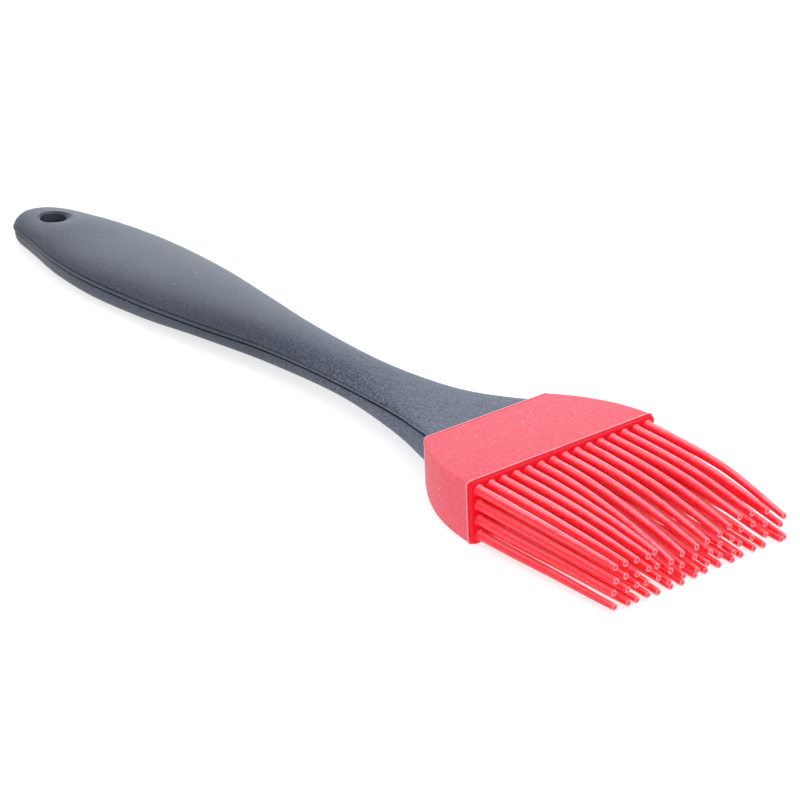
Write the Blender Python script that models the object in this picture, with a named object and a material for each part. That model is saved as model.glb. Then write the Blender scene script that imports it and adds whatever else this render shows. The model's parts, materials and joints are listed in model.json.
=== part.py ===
"""Pastry brush: a moulded handle in two halves round a spade tang, and a silicone head pushed onto the tang.

The brush lies along X with its bristle tips towards +X and rests on Z = 0, mirror-symmetric about Y = 0.
Moving bodies: handle -> head (slides off along +X) -> four bristle rows (each bends about its root bead).
All lengths are in metres.
"""

import math

import bmesh
import bpy
from mathutils import Vector

MM = 0.001

# Fits and walls
CLEARANCE = 0.3 * MM        # gap between two pieces that touch on the real brush
CUT_MARGIN = 2.0 * MM       # how far a cutter runs past the face that it opens

# Head sleeve, from its narrow back to the mouth that the bristles leave
HEAD_LENGTH = 20.0 * MM
MOUTH_WIDTH = 40.4 * MM
MOUTH_HEIGHT = 11.6 * MM
BACK_WIDTH = 27.3 * MM
BACK_HEIGHT = 9.5 * MM
SLEEVE_CORNER = 0.8 * MM    # corner radius of the sleeve's cross-section
SLEEVE_FLARE = 2.2          # power of the plan curve, whose sides run parallel at the mouth
SLEEVE_SECTIONS = 14
RIM_WALL = 1.6 * MM         # sleeve wall round the plug of the bristle base
POCKET_WEB = 1.1 * MM       # sleeve wall between the tang's pocket and the plug's recess

# Bristle base: a plug in the sleeve's mouth with a flange over its rim
PLUG_DEPTH = 3.0 * MM
FLANGE_THICKNESS = 0.9 * MM
FLANGE_INSET = 0.3 * MM     # the flange stands back from the sleeve's outline by this much

# Bristles
ROW_COUNT = 4
BRISTLES_PER_ROW = 15
ROW_MARGIN = 1.675 * MM     # outer rows stand in from the mouth's top and bottom by this much
COLUMN_MARGIN = 1.86 * MM   # outer bristles stand in from the mouth's sides by this much
BRISTLE_LENGTH = 34.0 * MM  # from the sleeve's mouth to the tips
ROOT_RADIUS = 0.82 * MM
TIP_RADIUS = 0.52 * MM
BEAD_RADIUS = 0.95 * MM     # root bead that carries a row, centred on the row's bending axis
BEAD_STANDOFF = 0.7 * MM    # the bead's axis lies this far in front of the flange
BRISTLE_SIDES = 10
BEAD_SIDES = 16
SEAT_SIDES = 24             # of the cutter that leaves a bead's seat in the flange

# Tang: a blade inside the sleeve on a stem inside the handle
BLADE_WIDTH = 21.6 * MM
BLADE_THICKNESS = 4.4 * MM
STEM_LENGTH = 29.0 * MM
STEM_WIDTH = 6.2 * MM
STEM_THICKNESS = 2.4 * MM
TANG_EDGE = 0.6 * MM        # rounding of the tang's edges

# Handle
HANDLE_LENGTH = 154.5 * MM
SHOULDER_WIDTH = 23.6 * MM  # where the handle meets the sleeve
NECK_WIDTH = 10.5 * MM
GRIP_WIDTH = 24.0 * MM
END_WIDTH = 17.8 * MM       # where the taper to the round end begins
END_ROUND = 8.0 * MM        # length of the round end
SEAM_STEP = 0.35 * MM       # the lower half stands back from the upper one by this much on each side
BELLY_CORNER = 2.4 * MM     # rounding of the lower half's bottom edge
CORNER_LIMIT = 0.8          # that rounding takes at most this share of the half's height and width
CROWN_POWER = 2.5           # 2 is an ellipse, higher is a flatter top with rounder shoulders
END_CROWN = 0.4             # share of the crown that is left at the tip of the round end
HANDLE_SECTIONS = 40
END_SECTIONS = 9            # how many of them lie in the round end
END_TURN = math.radians(86) # turn of the round end at which its last section lies

# Hanging hole, an oval along the brush with a dished lip
HOLE_FROM_END = 10.5 * MM
HOLE_WIDTH = 5.8 * MM
HOLE_LENGTH = 6.8 * MM
DISH_WIDTH = 8.6 * MM
DISH_DEPTH = 1.5 * MM
BELLY_DISH_DEPTH = 0.8 * MM

# Derived places: the sleeve's mouth is at MOUTH_X and the brush's middle height at MID_Z
MOUTH_X = (HANDLE_LENGTH + HEAD_LENGTH - BRISTLE_LENGTH) / 2
MID_Z = MOUTH_HEIGHT / 2
SLEEVE_BACK_X = MOUTH_X - HEAD_LENGTH
HANDLE_FRONT_X = SLEEVE_BACK_X - CLEARANCE
HANDLE_END_X = SLEEVE_BACK_X - HANDLE_LENGTH
FLANGE_BACK_X = MOUTH_X + CLEARANCE
FLANGE_FRONT_X = FLANGE_BACK_X + FLANGE_THICKNESS
BEAD_X = FLANGE_FRONT_X + BEAD_STANDOFF
ROW_PITCH = (MOUTH_HEIGHT - 2 * ROW_MARGIN) / (ROW_COUNT - 1)
BRISTLE_PITCH = (MOUTH_WIDTH - 2 * COLUMN_MARGIN) / (BRISTLES_PER_ROW - 1)
BLADE_LENGTH = HEAD_LENGTH - PLUG_DEPTH - POCKET_WEB - 3 * CLEARANCE
BLADE_BACK_X = SLEEVE_BACK_X + CLEARANCE
BLADE_FRONT_X = BLADE_BACK_X + BLADE_LENGTH
HOLE_X = HANDLE_END_X + HOLE_FROM_END

# Handle stations: share of its length from the front, half width, then as shares of the brush's middle
# height: the seam and the belly over that middle, and the crown over the seam
HANDLE_STATIONS = (
    (0.00, 0.500 * SHOULDER_WIDTH, 0.621, -0.810, 0.086),
    (0.05, 0.405 * SHOULDER_WIDTH, 0.397, -0.793, 0.172),
    (0.12, 0.670 * NECK_WIDTH, 0.172, -0.690, 0.276),
    (0.25, 0.500 * NECK_WIDTH, -0.069, -0.586, 0.517),
    (0.37, 0.590 * NECK_WIDTH, -0.103, -0.638, 0.534),
    (0.50, 0.373 * GRIP_WIDTH, -0.190, -0.707, 0.569),
    (0.62, 0.465 * GRIP_WIDTH, -0.241, -0.897, 0.569),
    (0.74, 0.500 * GRIP_WIDTH, -0.293, -1.000, 0.483),
    (0.82, 0.467 * GRIP_WIDTH, -0.310, -1.000, 0.414),
    (0.90, 0.500 * END_WIDTH, -0.345, -1.000, 0.431),
    (1.00, 0.350 * END_WIDTH, -0.517, -1.000, 0.397),
)

# Colours, roughness and metallic value of each material
MATERIALS = {
    "handle_nylon": ((0.105, 0.120, 0.155), 0.55, 0.0),
    "tang_nylon": ((0.070, 0.075, 0.090), 0.45, 0.0),
    "sleeve_silicone": ((0.800, 0.115, 0.150), 0.60, 0.0),
    "bristle_silicone": ((0.850, 0.035, 0.050), 0.35, 0.0),
}


def clear_scene():
    """Remove every object and every collection that the file opens with."""
    for item in list(bpy.data.objects):
        bpy.data.objects.remove(item, do_unlink=True)
    for group in list(bpy.data.collections):
        bpy.data.collections.remove(group)


def new_collection(name):
    """Make a collection under the scene's own."""
    group = bpy.data.collections.new(name)
    bpy.context.scene.collection.children.link(group)
    return group


def make_material(name):
    """Make one Principled material from the table."""
    colour, roughness, metallic = MATERIALS[name]
    material = bpy.data.materials.new(name)
    material.use_nodes = True
    material.diffuse_color = (*colour, 1.0)
    shader = material.node_tree.nodes["Principled BSDF"]
    shader.inputs["Base Color"].default_value = (*colour, 1.0)
    shader.inputs["Roughness"].default_value = roughness
    shader.inputs["Metallic"].default_value = metallic
    return material


def make_empty(name, group, location, parent=None):
    """Make a frame that pieces are parented to, at a world place."""
    frame = bpy.data.objects.new(name, None)
    group.objects.link(frame)
    put_at(frame, location, parent)
    return frame


def world_origin(frame):
    """World place of an unrotated frame, summed up its parents."""
    place = Vector((0, 0, 0))
    while frame:
        place += frame.location
        frame = frame.parent
    return place


def put_at(item, location, parent=None):
    """Place an object at a world location under its parent."""
    item.parent = parent
    item.location = Vector(location) - world_origin(parent)


def add_piece(name, mesh, group, location=(0, 0, 0), parent=None, material=None):
    """Make an object of a mesh whose vertices are measured from the given world location."""
    piece = bpy.data.objects.new(name, mesh)
    group.objects.link(piece)
    put_at(piece, location, parent)
    if material:
        mesh.materials.append(material)
    return piece


def add_cutter(name, mesh, group, location=(0, 0, 0)):
    """Make a hidden cutting body."""
    cutter = add_piece(name, mesh, group, location)
    cutter.hide_render = True
    cutter.display_type = "WIRE"
    return cutter


def cut(piece, cutter):
    """Take the cutter away from the piece."""
    step = piece.modifiers.new(f"cut_{cutter.name}", "BOOLEAN")
    step.operation = "DIFFERENCE"
    step.object = cutter


def loft(name, rings):
    """Join closed rings with equal point counts into one closed body."""
    shape = bmesh.new()
    loops = [[shape.verts.new(point) for point in ring] for ring in rings]
    count = len(loops[0])
    for near, far in zip(loops, loops[1:]):
        for i in range(count):
            j = (i + 1) % count
            shape.faces.new((near[i], near[j], far[j], far[i]))
    shape.faces.new(loops[0])
    shape.faces.new(loops[-1])
    bmesh.ops.recalc_face_normals(shape, faces=shape.faces)
    mesh = bpy.data.meshes.new(name)
    shape.to_mesh(mesh)
    shape.free()
    return mesh


def turned(name, radii_heights, stretch=1.0, sides=40):
    """Join circles of given radius and height, stretched along X, into one closed body round Z."""
    rings = []
    for radius, height in radii_heights:
        angles = [2 * math.pi * i / sides for i in range(sides)]
        rings.append([(radius * stretch * math.cos(a), radius * math.sin(a), height) for a in angles])
    return loft(name, rings)


def rounded_rectangle(x, width, height, radius, arc_steps=5):
    """Ring of points in the plane at x, centred on the X axis."""
    ring = []
    centre_y = width / 2 - radius
    centre_z = height / 2 - radius
    for quarter, (side_y, side_z) in enumerate(((1, 1), (-1, 1), (-1, -1), (1, -1))):
        for step in range(arc_steps + 1):
            angle = math.pi / 2 * (quarter + step / arc_steps)
            y = side_y * centre_y + radius * math.cos(angle)
            z = side_z * centre_z + radius * math.sin(angle)
            ring.append((x, y, z))
    return ring


def smooth_between(stations, share):
    """Read every column of the stations at one share of the length, smoothly and without overshoot."""
    places = [row[0] for row in stations]
    last = len(places) - 2
    index = min(max(i for i, place in enumerate(places) if place <= share), last)
    span = places[index + 1] - places[index]
    t = (share - places[index]) / span

    def rise(column, i):
        return (stations[i + 1][column] - stations[i][column]) / (places[i + 1] - places[i])

    def slope(column, i):
        if i == 0 or i == last + 1:
            return rise(column, min(i, last))
        before = rise(column, i - 1)
        after = rise(column, i)
        if before * after <= 0:
            return 0.0
        return 2 * before * after / (before + after)

    values = []
    for column in range(1, len(stations[0])):
        start = stations[index][column]
        end = stations[index + 1][column]
        lift_start = slope(column, index) * span
        lift_end = slope(column, index + 1) * span
        values.append(
            start * (2 * t**3 - 3 * t**2 + 1)
            + lift_start * (t**3 - 2 * t**2 + t)
            + end * (3 * t**2 - 2 * t**3)
            + lift_end * (t**3 - t**2)
        )
    return values


def handle_section(x):
    """Half width, seam, belly and crown heights of the handle at x, with its round end worked in."""
    share = (SLEEVE_BACK_X - x) / HANDLE_LENGTH
    half_width, seam, belly, crown = smooth_between(HANDLE_STATIONS, share)
    into_end = max(0.0, (HANDLE_END_X + END_ROUND - x) / END_ROUND)
    narrow = math.sqrt(max(0.0, 1 - into_end**2))
    crown *= END_CROWN + (1 - END_CROWN) * narrow
    return half_width * narrow, seam * MID_Z, belly * MID_Z, crown * MID_Z


def handle_places():
    """Places along X for the handle's sections, close together in the round end."""
    straight = HANDLE_SECTIONS - END_SECTIONS
    begin_round = HANDLE_END_X + END_ROUND
    places = [HANDLE_FRONT_X + (begin_round - HANDLE_FRONT_X) * i / straight for i in range(straight)]
    for i in range(END_SECTIONS):
        places.append(begin_round - END_ROUND * math.sin(END_TURN * i / (END_SECTIONS - 1)))
    return places


def upper_ring(x, steps=18):
    """Outline of the crowned upper half at x, flat along the seam."""
    half_width, seam, _, crown = handle_section(x)
    ring = []
    for i in range(steps + 1):
        angle = math.pi * i / steps
        across = math.copysign(abs(math.cos(angle)) ** (2 / CROWN_POWER), math.cos(angle))
        up = abs(math.sin(angle)) ** (2 / CROWN_POWER)
        ring.append((x, half_width * across, MID_Z + seam + CLEARANCE / 2 + crown * up))
    return ring


def lower_ring(x, arc_steps=6):
    """Outline of the lower half at x: upright sides, rounded bottom edges and a flat belly."""
    half_width, seam, belly, _ = handle_section(x)
    half_width = max(half_width - SEAM_STEP, half_width / 2)
    top = MID_Z + seam - CLEARANCE / 2
    bottom = MID_Z + belly
    corner = min(BELLY_CORNER, CORNER_LIMIT * (top - bottom), CORNER_LIMIT * half_width)
    ring = [(x, half_width, top), (x, -half_width, top)]
    for i in range(arc_steps + 1):
        angle = math.pi / 2 * i / arc_steps
        y = -half_width + corner - corner * math.cos(angle)
        ring.append((x, y, bottom + corner - corner * math.sin(angle)))
    for i in range(arc_steps + 1):
        angle = math.pi / 2 * (1 - i / arc_steps)
        y = half_width - corner + corner * math.cos(angle)
        ring.append((x, y, bottom + corner - corner * math.sin(angle)))
    return ring


def build_handle(parts, cutters, frame):
    """Upper and lower halves, cut for the tang's stem and for the hanging hole."""
    nylon = make_material("handle_nylon")
    places = handle_places()
    crowned = loft("handle_upper_half", [upper_ring(x) for x in places])
    bellied = loft("handle_lower_half", [lower_ring(x) for x in places])
    upper = add_piece("handle_upper_half", crowned, parts, (0, 0, 0), frame, nylon)
    lower = add_piece("handle_lower_half", bellied, parts, (0, 0, 0), frame, nylon)

    pocket_length = STEM_LENGTH + CLEARANCE + CUT_MARGIN
    bpy.ops.mesh.primitive_cube_add(size=1)
    pocket = bpy.context.object
    pocket.name = "stem_pocket"
    pocket.scale = (pocket_length, STEM_WIDTH + 2 * CLEARANCE, STEM_THICKNESS + 2 * CLEARANCE)
    pocket.location = (BLADE_BACK_X - STEM_LENGTH - CLEARANCE + pocket_length / 2, 0, MID_Z)
    move_to(pocket, cutters)

    _, seam, belly, crown = handle_section(HOLE_X)
    top = MID_Z + seam + CLEARANCE / 2 + crown
    bottom = MID_Z + belly
    lip = (DISH_WIDTH - HOLE_WIDTH) / 2
    profile = (
        (DISH_WIDTH / 2 + lip, bottom - BELLY_DISH_DEPTH),
        (HOLE_WIDTH / 2, bottom + BELLY_DISH_DEPTH),
        (HOLE_WIDTH / 2, top - DISH_DEPTH),
        (DISH_WIDTH / 2 + lip, top + DISH_DEPTH),
    )
    oval = turned("hanging_hole", profile, HOLE_LENGTH / HOLE_WIDTH)
    hole = add_cutter("hanging_hole", oval, cutters, (HOLE_X, 0, 0))
    for half in (upper, lower):
        cut(half, pocket)
        cut(half, hole)


def move_to(item, group):
    """Take an object made by an operator into the cutters' collection as a hidden cutting body."""
    for owner in list(item.users_collection):
        owner.objects.unlink(item)
    group.objects.link(item)
    item.hide_render = True
    item.display_type = "WIRE"


def build_tang(parts, frame):
    """Blade inside the sleeve, on a narrower stem that is clamped between the handle's halves."""
    rings = []
    stem_end_x = BLADE_BACK_X - STEM_LENGTH
    for x, width, height in (
        (stem_end_x, STEM_WIDTH, STEM_THICKNESS),
        (BLADE_BACK_X, STEM_WIDTH, STEM_THICKNESS),
        (BLADE_BACK_X, BLADE_WIDTH, BLADE_THICKNESS),
        (BLADE_FRONT_X, BLADE_WIDTH, BLADE_THICKNESS),
    ):
        rings.append(rounded_rectangle(x, width, height, TANG_EDGE, arc_steps=3))
    add_piece("tang", loft("tang", rings), parts, (0, 0, MID_Z), frame, make_material("tang_nylon"))


def sleeve_size(x):
    """Outer width and height of the sleeve at x, measured from its mouth."""
    share = 1 + x / HEAD_LENGTH
    flare = 1 - (1 - share) ** SLEEVE_FLARE
    width = BACK_WIDTH + (MOUTH_WIDTH - BACK_WIDTH) * flare
    height = BACK_HEIGHT + (MOUTH_HEIGHT - BACK_HEIGHT) * share
    return width, height


def plug_size():
    """Width and height of the plug that fills the sleeve's mouth."""
    taken = 2 * (RIM_WALL + CLEARANCE)
    width, height = sleeve_size(-PLUG_DEPTH)
    return width - taken, height - taken


def build_sleeve(parts, cutters, frame, silicone):
    """Sleeve with a blind pocket for the tang's blade and a recess for the bristle base's plug."""
    rings = []
    for i in range(SLEEVE_SECTIONS + 1):
        x = -HEAD_LENGTH * (1 - i / SLEEVE_SECTIONS)
        width, height = sleeve_size(x)
        rings.append(rounded_rectangle(x, width, height, SLEEVE_CORNER))
    place = (MOUTH_X, 0, MID_Z)
    sleeve = add_piece("head_sleeve", loft("sleeve", rings), parts, place, frame, silicone)

    pocket_width = BLADE_WIDTH + 2 * CLEARANCE
    pocket_height = BLADE_THICKNESS + 2 * CLEARANCE
    pocket_rings = []
    for x in (SLEEVE_BACK_X - CUT_MARGIN, BLADE_FRONT_X + CLEARANCE):
        pocket_rings.append(rounded_rectangle(x, pocket_width, pocket_height, TANG_EDGE, arc_steps=3))
    cut(sleeve, add_cutter("blade_pocket", loft("blade_pocket", pocket_rings), cutters, (0, 0, MID_Z)))

    width, height = plug_size()
    recess_rings = []
    width += 2 * CLEARANCE
    height += 2 * CLEARANCE
    for x in (-PLUG_DEPTH - CLEARANCE, CUT_MARGIN):
        recess_rings.append(rounded_rectangle(x, width, height, SLEEVE_CORNER))
    cut(sleeve, add_cutter("plug_recess", loft("plug_recess", recess_rings), cutters, place))


def row_height(row):
    """Height of a row over the brush's middle, row 0 on top."""
    return ((ROW_COUNT - 1) / 2 - row) * ROW_PITCH


def build_base(parts, cutters, frame, silicone):
    """Plug and flange in one body, with a concave seat for each row's root bead."""
    plug_width, plug_height = plug_size()
    flange_width = MOUTH_WIDTH - 2 * FLANGE_INSET
    flange_height = MOUTH_HEIGHT - 2 * FLANGE_INSET
    rings = []
    for x, width, height in (
        (-PLUG_DEPTH, plug_width, plug_height),
        (CLEARANCE, plug_width, plug_height),
        (CLEARANCE, flange_width, flange_height),
        (CLEARANCE + FLANGE_THICKNESS, flange_width, flange_height),
    ):
        rings.append(rounded_rectangle(x, width, height, SLEEVE_CORNER - FLANGE_INSET))
    base = add_piece("bristle_base", loft("base", rings), parts, (MOUTH_X, 0, MID_Z), frame, silicone)

    for row in range(ROW_COUNT):
        bpy.ops.mesh.primitive_cylinder_add(
            vertices=SEAT_SIDES,
            radius=BEAD_RADIUS + CLEARANCE,
            depth=MOUTH_WIDTH + CUT_MARGIN,
            location=(BEAD_X, 0, MID_Z + row_height(row)),
            rotation=(math.pi / 2, 0, 0),
        )
        seat = bpy.context.object
        seat.name = f"bead_seat_{row + 1}"
        move_to(seat, cutters)
        cut(base, seat)


def row_mesh(name, silicone):
    """Root bead along Y with its tapered bristles, joined into one body on the bending axis."""
    bead_length = (BRISTLES_PER_ROW - 1) * BRISTLE_PITCH + 2 * BEAD_RADIUS
    bpy.ops.mesh.primitive_cylinder_add(
        vertices=BEAD_SIDES, radius=BEAD_RADIUS, depth=bead_length, rotation=(math.pi / 2, 0, 0)
    )
    bead = bpy.context.object
    bead.name = name

    free_length = MOUTH_X + BRISTLE_LENGTH - BEAD_X
    shape = bmesh.new()
    for column in range(BRISTLES_PER_ROW):
        made = bmesh.ops.create_cone(
            shape,
            cap_ends=True,
            segments=BRISTLE_SIDES,
            radius1=ROOT_RADIUS,
            radius2=TIP_RADIUS,
            depth=free_length,
        )
        across = (column - (BRISTLES_PER_ROW - 1) / 2) * BRISTLE_PITCH
        for vertex in made["verts"]:
            along = vertex.co.z + free_length / 2
            vertex.co = Vector((along, across + vertex.co.y, -vertex.co.x))
    bmesh.ops.recalc_face_normals(shape, faces=shape.faces)
    bristles = bpy.data.meshes.new(f"{name}_bristles")
    shape.to_mesh(bristles)
    shape.free()
    comb = bpy.data.objects.new(f"{name}_bristles", bristles)
    bpy.context.scene.collection.objects.link(comb)

    joined = bead.modifiers.new("join_bristles", "BOOLEAN")
    joined.operation = "UNION"
    joined.object = comb
    bpy.context.view_layer.update()
    evaluated = bead.evaluated_get(bpy.context.evaluated_depsgraph_get())
    mesh = bpy.data.meshes.new_from_object(evaluated)
    mesh.name = name
    mesh.transform(bead.matrix_world)
    mesh.materials.clear()
    mesh.materials.append(silicone)
    bpy.data.objects.remove(bead, do_unlink=True)
    bpy.data.objects.remove(comb, do_unlink=True)
    return mesh


def build_rows(parts, frame, silicone):
    """Four equal rows, each with its origin on its own bending axis."""
    for row in range(ROW_COUNT):
        name = f"bristle_row_{row + 1}"
        place = (BEAD_X, 0, MID_Z + row_height(row))
        add_piece(name, row_mesh(name, silicone), parts, place, frame)


def main():
    """Build the brush."""
    clear_scene()
    parts = new_collection("pastry_brush")
    cutters = new_collection("cutters")
    handle_frame = make_empty("handle_frame", parts, (0, 0, 0))
    head_frame = make_empty("head_frame", parts, (SLEEVE_BACK_X, 0, MID_Z), handle_frame)
    sleeve_silicone = make_material("sleeve_silicone")
    bristle_silicone = make_material("bristle_silicone")
    build_handle(parts, cutters, handle_frame)
    build_tang(parts, handle_frame)
    build_sleeve(parts, cutters, head_frame, sleeve_silicone)
    build_base(parts, cutters, head_frame, bristle_silicone)
    build_rows(parts, head_frame, bristle_silicone)


main()
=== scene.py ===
"""Looks of a silicone pastry brush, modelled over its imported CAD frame.

The handle's two halves, the tang, the silicone sleeve, the bristle base and the four bristle rows
are each modelled anew over their CAD node, from sections read off that node, and dressed in
procedural finishes.
"""

import enum
import json
import logging
import math
import random
from collections.abc import Callable
from dataclasses import dataclass, field

import bpy
import numpy as np
from mathutils import Matrix, Vector


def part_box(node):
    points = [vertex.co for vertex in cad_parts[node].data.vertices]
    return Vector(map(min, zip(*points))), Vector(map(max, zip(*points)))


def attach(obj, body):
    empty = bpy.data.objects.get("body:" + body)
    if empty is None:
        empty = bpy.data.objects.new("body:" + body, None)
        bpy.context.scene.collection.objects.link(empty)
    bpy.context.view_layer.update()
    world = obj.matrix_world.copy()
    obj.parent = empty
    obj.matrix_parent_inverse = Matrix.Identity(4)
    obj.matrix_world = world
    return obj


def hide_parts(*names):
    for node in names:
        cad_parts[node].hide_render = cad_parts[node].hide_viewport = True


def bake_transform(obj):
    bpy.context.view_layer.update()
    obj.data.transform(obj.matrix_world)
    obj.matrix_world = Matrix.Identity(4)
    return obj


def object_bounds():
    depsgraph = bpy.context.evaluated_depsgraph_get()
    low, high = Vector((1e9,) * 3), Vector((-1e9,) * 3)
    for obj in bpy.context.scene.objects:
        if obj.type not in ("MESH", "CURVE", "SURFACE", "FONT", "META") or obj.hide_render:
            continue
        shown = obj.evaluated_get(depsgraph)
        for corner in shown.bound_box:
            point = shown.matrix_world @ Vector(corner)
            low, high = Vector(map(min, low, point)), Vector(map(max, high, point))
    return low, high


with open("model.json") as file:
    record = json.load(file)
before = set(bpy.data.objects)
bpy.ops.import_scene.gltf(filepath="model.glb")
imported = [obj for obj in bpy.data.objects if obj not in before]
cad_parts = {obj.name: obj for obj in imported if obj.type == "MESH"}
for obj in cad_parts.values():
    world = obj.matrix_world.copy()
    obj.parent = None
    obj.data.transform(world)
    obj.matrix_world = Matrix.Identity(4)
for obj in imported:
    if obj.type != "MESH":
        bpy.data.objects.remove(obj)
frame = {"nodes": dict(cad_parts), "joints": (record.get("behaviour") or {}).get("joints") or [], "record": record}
CAD_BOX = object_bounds()

MM = 0.001
HAIRLINE = 0.05 * MM  # gap left between two pieces that touch
SEAT = 0.01 * MM  # gap behind the base and behind the bristles, too thin to see
LEDGE = 0.01 * MM  # narrowest inset, where a face steps to another size
OVERCUT = 1.0 * MM  # how far a cutter stands past what it cuts
PROBE = 1.0 * MM  # how far inside a node's end its slice is read
TOUCH = 1e-6  # how near a plane counts as on it
SQUARE_ON = 0.9  # least part of a normal along an axis that counts as facing it
log = logging.getLogger("pastry_brush")

Pair = tuple[float, float]
Colour = tuple[float, float, float]
Triple = tuple[float, float, float]
Test = Callable[[Vector, Vector], bool]
FaceTest = Callable[[bpy.types.MeshPolygon], bool]
Number = float | bpy.types.NodeSocket


# ------------------------------------------------------------------------------
# Modelling tools
# ------------------------------------------------------------------------------


class Pick(enum.Enum):
    """What an edit-mode selection takes hold of, with Blender's own select-mode switches."""

    VERTICES = (True, False, False)
    EDGES = (False, True, False)
    FACES = (False, False, True)


@dataclass(frozen=True)
class Section:
    """Upright slice of a long piece: its place on X, half its width, its foot and its top."""

    x: float
    half_width: float
    low: float
    high: float

    @property
    def height(self) -> float:
        """Height of the slice."""
        return self.high - self.low

    @property
    def middle(self) -> float:
        """Height of the slice's middle."""
        return (self.low + self.high) / 2

    def moved(self, x: float) -> "Section":
        """The same slice at another place along X."""
        return Section(x, self.half_width, self.low, self.high)

    def grown(self, sideways: float, down: float, up: float) -> "Section":
        """The slice with its sides, floor and top moved outwards by so much."""
        return Section(self.x, self.half_width + sideways, self.low - down, self.high + up)

    def eased(self, by: float) -> "Section":
        """The slice moved outwards by the same amount all round."""
        return self.grown(by, by, by)


@dataclass(frozen=True)
class Rounding:
    """Rounding of a profile block's two long edges at one height, in a block of height 1."""

    level: float
    reach: float
    facets: int
    profile: float = 0.5


def share_of(value: float, start: float, end: float) -> float:
    """How far a value has gone from start to end, from 0 to 1."""
    return min(max((value - start) / (end - start), 0.0), 1.0)


def object_mode() -> None:
    """Leave edit mode if it is on."""
    if bpy.context.mode != "OBJECT":
        bpy.ops.object.mode_set(mode="OBJECT")


def select_nothing() -> None:
    """Leave edit mode and deselect every object."""
    object_mode()
    bpy.ops.object.select_all(action="DESELECT")


def select_only(*pieces: bpy.types.Object) -> None:
    """Select some objects and nothing else.

    Args:
        pieces: The objects, the first of which becomes the active one.
    """
    select_nothing()
    for piece in pieces:
        piece.select_set(True)
    bpy.context.view_layer.objects.active = pieces[0]


def named(name: str) -> bpy.types.Object:
    """Name the object that an operator has just made and put its transform into its mesh.

    Args:
        name: The object's name, also given to its mesh.

    Returns:
        The object.
    """
    piece = bpy.context.object
    piece.name = name
    piece.data.name = name
    select_only(piece)
    bpy.ops.object.transform_apply(location=True, rotation=True, scale=True)
    return piece


def add_block(name: str, low: Triple, high: Triple) -> bpy.types.Object:
    """Add a box between two corners.

    Args:
        name: The object's name.
        low: Its lowest corner.
        high: Its highest corner.

    Returns:
        The box.
    """
    low, high = Vector(low), Vector(high)
    select_nothing()
    bpy.ops.mesh.primitive_cube_add(size=1, location=(low + high) / 2)
    bpy.context.object.scale = high - low
    return named(name)


def pick(piece: bpy.types.Object, kind: Pick, wanted: Test) -> None:
    """Select parts of a mesh by place, and open it in edit mode.

    Args:
        piece: The object to edit.
        kind: Whether vertices, edges or faces are picked.
        wanted: A test of two vectors: a vertex's place and normal, an edge's two ends, or a
            face's centre and normal.
    """
    select_only(piece)
    mesh = piece.data
    for group in (mesh.vertices, mesh.edges, mesh.polygons):
        group.foreach_set("select", [False] * len(group))
    bpy.context.tool_settings.mesh_select_mode = kind.value
    if kind is Pick.VERTICES:
        chosen = [v for v in mesh.vertices if wanted(v.co, v.normal)]
    elif kind is Pick.EDGES:
        places = mesh.vertices
        chosen = [e for e in mesh.edges if wanted(*(places[i].co for i in e.vertices))]
    else:
        chosen = [f for f in mesh.polygons if wanted(f.center, f.normal)]
    for item in chosen:
        item.select = True
    bpy.ops.object.mode_set(mode="EDIT")


def anywhere(_: Vector, __: Vector) -> bool:
    """Take everything."""
    return True


def facing(axis: int, side: float) -> Test:
    """A test for faces that face one way along an axis (0, 1 or 2), side being 1 or -1."""
    return lambda _, normal: normal[axis] * side > SQUARE_ON


def extrude(*step: float) -> None:
    """Extrude what is picked by a step along X, Y and Z."""
    bpy.ops.mesh.extrude_region_move(TRANSFORM_OT_translate={"value": step})


def resize(scale: Triple, centre: Triple) -> None:
    """Scale what is picked about a point."""
    bpy.ops.transform.resize(value=scale, center_override=centre)


def face_outwards() -> None:
    """Turn all the faces of the mesh in edit mode outwards, and leave edit mode."""
    bpy.ops.mesh.select_all(action="SELECT")
    bpy.ops.mesh.normals_make_consistent(inside=False)
    object_mode()


def fit_face(before: Section, after: Section) -> None:
    """Scale the picked end face from one section's size to the next one's."""
    scale = (1, after.half_width / before.half_width, after.height / before.height)
    resize(scale, (after.x, 0, after.low))


def draw_out(piece: bpy.types.Object, sections: list[Section]) -> None:
    """Fit a profile block between the first two sections and carry its end through the rest.

    Args:
        piece: A block with X from 0 to 1, Y from -1 to 1 and Z from 0 to 1.
        sections: The slices in order along X.
    """
    object_mode()
    first, second = sections[:2]
    run = second.x - first.x
    piece.data.transform(Matrix.Diagonal((abs(run), first.half_width, first.height, 1)))
    piece.data.transform(Matrix.Translation((min(first.x, second.x), 0, first.low)))
    pick(piece, Pick.FACES, facing(0, math.copysign(1, run)))
    bpy.ops.transform.translate(value=(0, 0, second.low - first.low))
    fit_face(first, second)
    for before, after in zip(sections[1:], sections[2:]):
        extrude(after.x - before.x, 0, after.low - before.low)
        fit_face(before, after)
    object_mode()


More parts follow.
